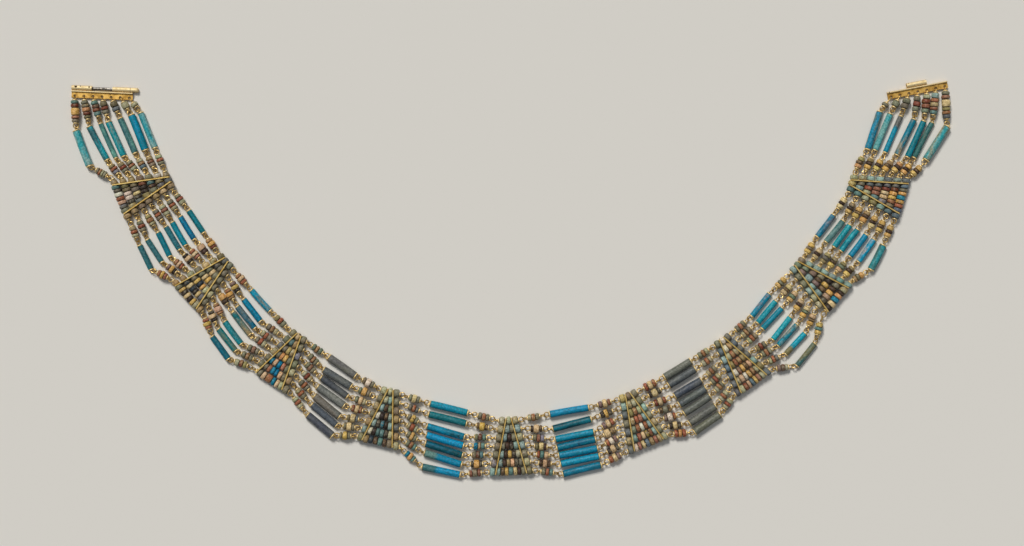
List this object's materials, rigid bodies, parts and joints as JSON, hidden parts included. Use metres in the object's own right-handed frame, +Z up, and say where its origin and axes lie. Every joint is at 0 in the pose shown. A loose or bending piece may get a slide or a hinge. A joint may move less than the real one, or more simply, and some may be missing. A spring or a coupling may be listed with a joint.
{
  "type": "faience bead necklace",
  "caption": "Broad collar of turquoise tube beads and small ring beads strung side by side on gold wire, with bead panels between spacer bars and a hinged pin clasp, laid open in an arc.",
  "frame": {"origin": "centre of the laid collar's box, on the surface that it lies on", "axes": "+X from the left clasp half to the right one, +Y from the front of the collar to its clasp, +Z up from the surface"},
  "size_m": [0.3958, 0.1794, 0.0041],
  "materials": {
    "tube_faience": "worn turquoise glaze",
    "ring_faience": "worn glaze in sage, red, yellow and dark brown",
    "panel_faience": "worn glaze in many colours",
    "wire_gold": "drawn gold-coloured wire",
    "bar_gold": "satin gold-coloured strip",
    "clasp_gold": "satin gold-coloured sheet",
    "pin_bronze": "dark bronze"
  },
  "bodies": {
    "collar": {"clasp_left": "clasp_gold", "clasp_right": "clasp_gold", "tube_beads_1": "tube_faience", "tube_beads_2": "tube_faience", "tube_beads_3": "tube_faience", "tube_beads_4": "tube_faience", "tube_beads_5": "tube_faience", "tube_beads_6": "tube_faience", "tube_beads_7": "tube_faience", "ring_beads_1": "ring_faience", "ring_beads_2": "ring_faience", "ring_beads_3": "ring_faience", "ring_beads_4": "ring_faience", "ring_beads_5": "ring_faience", "ring_beads_6": "ring_faience", "ring_beads_7": "ring_faience", "strand_wire_1": "wire_gold", "strand_wire_2": "wire_gold", "strand_wire_3": "wire_gold", "strand_wire_4": "wire_gold", "strand_wire_5": "wire_gold", "strand_wire_6": "wire_gold", "strand_wire_7": "wire_gold", "bead_panel_1": "panel_faience", "bead_panel_2": "panel_faience", "bead_panel_3": "panel_faience", "bead_panel_4": "panel_faience", "bead_panel_5": "panel_faience", "bead_panel_6": "panel_faience", "bead_panel_7": "panel_faience", "bead_panel_8": "panel_faience", "bead_panel_9": "panel_faience", "spacer_bars_1": "bar_gold", "spacer_bars_2": "bar_gold", "spacer_bars_3": "bar_gold", "spacer_bars_4": "bar_gold", "spacer_bars_5": "bar_gold", "spacer_bars_6": "bar_gold", "spacer_bars_7": "bar_gold", "spacer_bars_8": "bar_gold", "spacer_bars_9": "bar_gold"},
    "pin": {"clasp_pin": "pin_bronze"}
  },
  "joints": [
    {"name": "pin_slide", "type": "slide", "parent": "collar", "child": "pin", "axis": [0.999, -0.0436, 0], "range_m": [0, 0.0185]}
  ]
}
